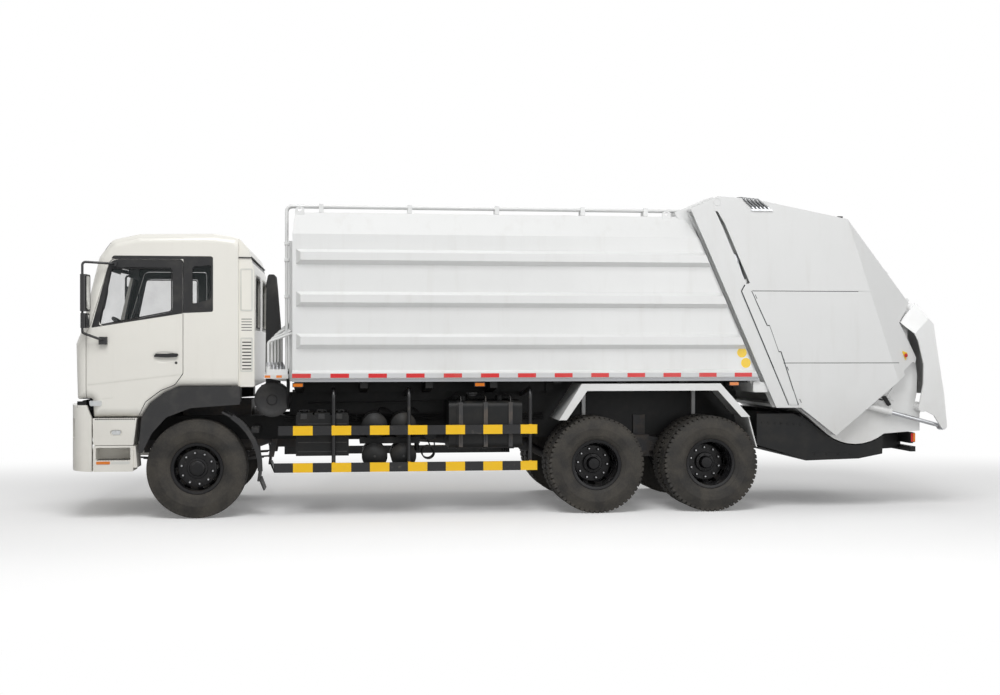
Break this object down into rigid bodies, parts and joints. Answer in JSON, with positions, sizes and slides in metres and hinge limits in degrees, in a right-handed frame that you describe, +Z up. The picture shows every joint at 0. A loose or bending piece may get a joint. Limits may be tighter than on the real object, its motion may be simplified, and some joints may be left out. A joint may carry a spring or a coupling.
{
  "type": "garbage truck",
  "caption": "Rear-loading refuse truck: cab-over tandem-axle chassis, ribbed compactor body, lifting tailgate with packer and fold-down loading bucket.",
  "frame": {"origin": "on the ground under the centre of the bounding box", "axes": "+X towards the truck's rear, +Y to its right side, +Z up"},
  "size_m": [9.8317, 2.929, 3.5404],
  "materials": {
    "cab_paint": "gloss",
    "body_paint": "gloss",
    "black_paint": "satin",
    "rim_paint": "satin",
    "dark_plastic": "matte",
    "warning_paint": "satin",
    "tank_metal": "satin",
    "steel": "satin",
    "cast": "matte",
    "tyre": "matte",
    "window": "gloss",
    "lamp_glass": "gloss",
    "trim": "satin",
    "seat_cloth": "matte"
  },
  "bodies": {
    "truck": {"chassis_frame": "black_paint", "engine": "cast", "front_axle": "cast", "rear_axles": "cast", "fuel_tank": "black_paint", "chassis_tanks": "black_paint", "side_guards": "warning_paint", "front_mudguards": "dark_plastic", "rear_mudguards": "body_paint", "air_intake": "dark_plastic", "rear_underframe": "black_paint", "body_sides": "body_paint", "body_roof": "body_paint", "body_front_wall": "body_paint", "body_floor": "black_paint", "body_rear_frame": "body_paint", "hydraulic_pipes": "body_paint", "front_bumper": "cab_paint", "cab_steps": "cab_paint", "headlamps": "lamp_glass"},
    "ejector": {"ejector_plate": "body_paint"},
    "cab": {"cab_shell": "cab_paint", "cab_glass": "window", "cab_arches": "dark_plastic", "front_grille": "dark_plastic", "dashboard": "trim", "seats": "seat_cloth"},
    "left_door": {"door_left": "cab_paint", "door_glass_left": "window"},
    "right_door": {"door_right": "cab_paint", "door_glass_right": "window"},
    "left_knuckle": {"knuckle_left": "cast"},
    "right_knuckle": {"knuckle_right": "cast"},
    "front_left_wheel": {"tyre_front_left": "tyre", "wheel_front_left": "rim_paint"},
    "front_right_wheel": {"tyre_front_right": "tyre", "wheel_front_right": "rim_paint"},
    "middle_left_wheels": {"tyres_middle_left": "tyre", "wheels_middle_left": "rim_paint"},
    "middle_right_wheels": {"tyres_middle_right": "tyre", "wheels_middle_right": "rim_paint"},
    "rear_left_wheels": {"tyres_rear_left": "tyre", "wheels_rear_left": "rim_paint"},
    "rear_right_wheels": {"tyres_rear_right": "tyre", "wheels_rear_right": "rim_paint"},
    "tailgate": {"tailgate_walls": "body_paint", "tailgate_skins": "body_paint", "tailgate_cover": "body_paint", "hopper_trough": "body_paint"},
    "packer_slide": {"packer_carriage": "body_paint"},
    "sweep_blade": {"packer_blade": "body_paint"},
    "bucket": {"loading_bucket": "body_paint"},
    "bucket_ram_barrels": {"bucket_barrels": "body_paint"},
    "bucket_ram_rods": {"bucket_rods": "steel"},
    "lift_ram_barrels": {"lift_barrels": "body_paint"},
    "lift_ram_rods": {"lift_rods": "steel"}
  },
  "joints": [
    {"name": "steer_left", "type": "hinge", "parent": "truck", "child": "left_knuckle", "pos_m": [-3.49, -0.87, 0.535], "axis": [0, 0, 1], "range_deg": [-35, 35]},
    {"name": "steer_right", "type": "hinge", "parent": "truck", "child": "right_knuckle", "pos_m": [-3.49, 0.87, 0.535], "axis": [0, 0, 1], "range_deg": [-35, 35]},
    {"name": "spin_front_left", "type": "hinge", "parent": "left_knuckle", "child": "front_left_wheel", "pos_m": [-3.49, -1.02, 0.535], "axis": [0, 1, 0], "continuous": true},
    {"name": "spin_front_right", "type": "hinge", "parent": "right_knuckle", "child": "front_right_wheel", "pos_m": [-3.49, 1.02, 0.535], "axis": [0, 1, 0], "continuous": true},
    {"name": "spin_middle_left", "type": "hinge", "parent": "truck", "child": "middle_left_wheels", "pos_m": [0.86, -0.93, 0.535], "axis": [0, 1, 0], "continuous": true},
    {"name": "spin_middle_right", "type": "hinge", "parent": "truck", "child": "middle_right_wheels", "pos_m": [0.86, 0.93, 0.535], "axis": [0, 1, 0], "continuous": true},
    {"name": "spin_rear_left", "type": "hinge", "parent": "truck", "child": "rear_left_wheels", "pos_m": [2.16, -0.93, 0.535], "axis": [0, 1, 0], "continuous": true},
    {"name": "spin_rear_right", "type": "hinge", "parent": "truck", "child": "rear_right_wheels", "pos_m": [2.16, 0.93, 0.535], "axis": [0, 1, 0], "continuous": true},
    {"name": "cab_tilt", "type": "hinge", "parent": "truck", "child": "cab", "pos_m": [-4.79, 0, 1.15], "axis": [0, -1, 0], "range_deg": [0, 50]},
    {"name": "door_left_swing", "type": "hinge", "parent": "cab", "child": "left_door", "pos_m": [-4.628, -1.215, 1.9], "axis": [0, 0, -1], "range_deg": [0, 70]},
    {"name": "door_right_swing", "type": "hinge", "parent": "cab", "child": "right_door", "pos_m": [-4.628, 1.215, 1.9], "axis": [0, 0, 1], "range_deg": [0, 70]},
    {"name": "ejector_push", "type": "slide", "parent": "truck", "child": "ejector", "axis": [1, 0, 0], "range_m": [0, 3.9]},
    {"name": "tailgate_lift", "type": "hinge", "parent": "truck", "child": "tailgate", "pos_m": [2.22, 0, 3.465], "axis": [0, -1, 0], "range_deg": [0, 85]},
    {"name": "packer_stroke", "type": "slide", "parent": "tailgate", "child": "packer_slide", "axis": [0.405, 0, -0.9143], "range_m": [0, 0.8]},
    {"name": "blade_sweep", "type": "hinge", "parent": "packer_slide", "child": "sweep_blade", "pos_m": [3.56597, 0, 2.01644], "axis": [0, -1, 0], "range_deg": [0, 80]},
    {"name": "bucket_tilt", "type": "hinge", "parent": "tailgate", "child": "bucket", "pos_m": [4.629, 0, 1.154], "axis": [0, 1, 0], "range_deg": [0, 100]},
    {"name": "bucket_barrel_swing", "type": "hinge", "parent": "tailgate", "child": "bucket_ram_barrels", "pos_m": [3.66, 0, 1.26139], "axis": [0, 1, 0], "range_deg": [0, 9.47]},
    {"name": "bucket_rod_stroke", "type": "slide", "parent": "bucket_ram_barrels", "child": "bucket_ram_rods", "axis": [-0.9668, 0, 0.2554], "range_m": [0, 0.485]},
    {"name": "lift_barrel_swing", "type": "hinge", "parent": "truck", "child": "lift_ram_barrels", "pos_m": [2.89, 0, 1.4], "axis": [0, 1, 0], "range_deg": [0, 15.26]},
    {"name": "lift_rod_stroke", "type": "slide", "parent": "lift_ram_barrels", "child": "lift_ram_rods", "axis": [-0.2782, 0, 0.9605], "range_m": [0, 0.752]}
  ],
  "couplings": [
    {"joint": "steer_right", "follows": "steer_left", "ratio": 1},
    {"joint": "bucket_barrel_swing", "follows": "bucket_tilt", "ratio": 0.094687},
    {"joint": "bucket_rod_stroke", "follows": "bucket_tilt", "m_per_rad": 0.27787},
    {"joint": "lift_barrel_swing", "follows": "tailgate_lift", "ratio": 0.17945},
    {"joint": "lift_rod_stroke", "follows": "tailgate_lift", "m_per_rad": 0.50631}
  ]
}
